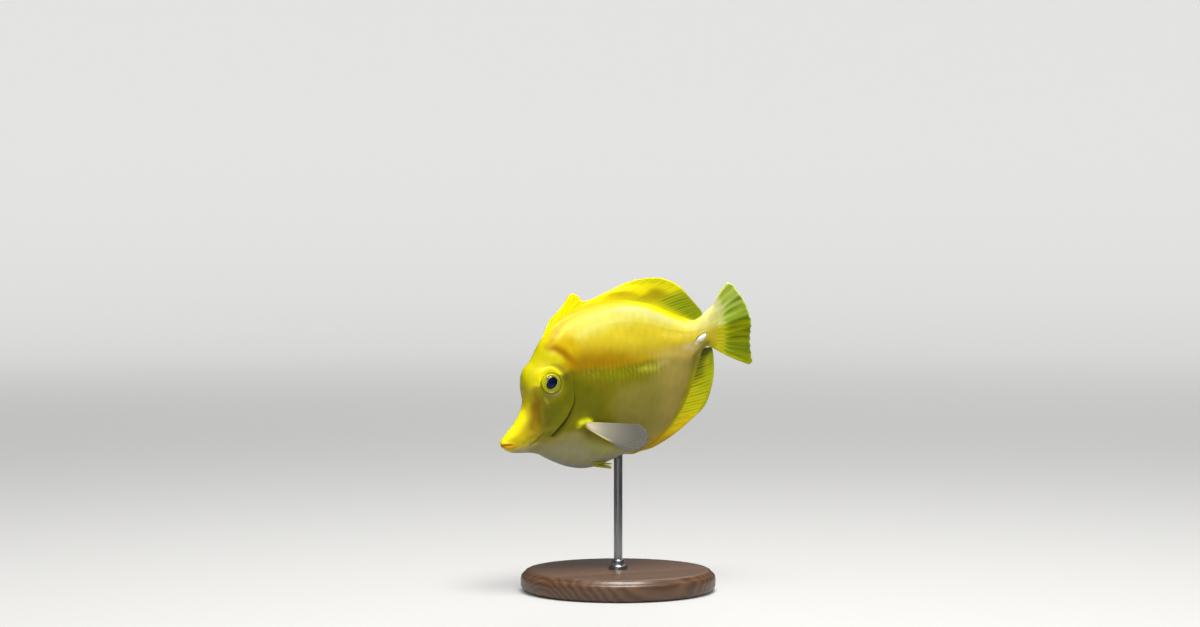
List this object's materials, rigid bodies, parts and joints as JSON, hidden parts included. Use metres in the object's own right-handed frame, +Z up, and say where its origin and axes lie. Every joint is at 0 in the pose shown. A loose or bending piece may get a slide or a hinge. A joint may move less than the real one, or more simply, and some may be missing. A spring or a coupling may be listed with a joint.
{
  "type": "yellow tang fish model",
  "caption": "Life-size display model of a deep-bodied yellow reef fish, swimming nose down with its tail swung to its left, held by one rod over a round flat base.",
  "frame": {"origin": "centre of the display stand's underside, on the surface it stands on", "axes": "+Z up; the fish's snout points along -X and is pitched 21.6 degrees down, and its left side faces -Y"},
  "size_m": [0.1156, 0.09, 0.145],
  "materials": {
    "body_skin": "satin, moist skin with fine scales",
    "fin_skin": "satin, rayed membrane",
    "clear_fin": "translucent rayed membrane",
    "eye": "wet and glossy",
    "tail_spine": "smooth and glossy",
    "stand_wood": "oiled walnut",
    "stand_steel": "satin"
  },
  "bodies": {
    "root": {"head": "body_skin", "trunk": "body_skin", "tail_stalk": "body_skin", "upper_jaw": "body_skin", "lower_jaw": "body_skin", "gill_cover_left": "body_skin", "gill_cover_right": "body_skin", "dorsal_fin": "fin_skin", "anal_fin": "fin_skin", "caudal_fin": "fin_skin", "pelvic_fin_left": "fin_skin", "pelvic_fin_right": "fin_skin", "pectoral_fin_left": "clear_fin", "pectoral_fin_right": "clear_fin", "eye_left": "eye", "eye_right": "eye", "tail_spine_left": "tail_spine", "tail_spine_right": "tail_spine", "stand_base": "stand_wood", "stand_rod": "stand_steel"}
  },
  "joints": []
}
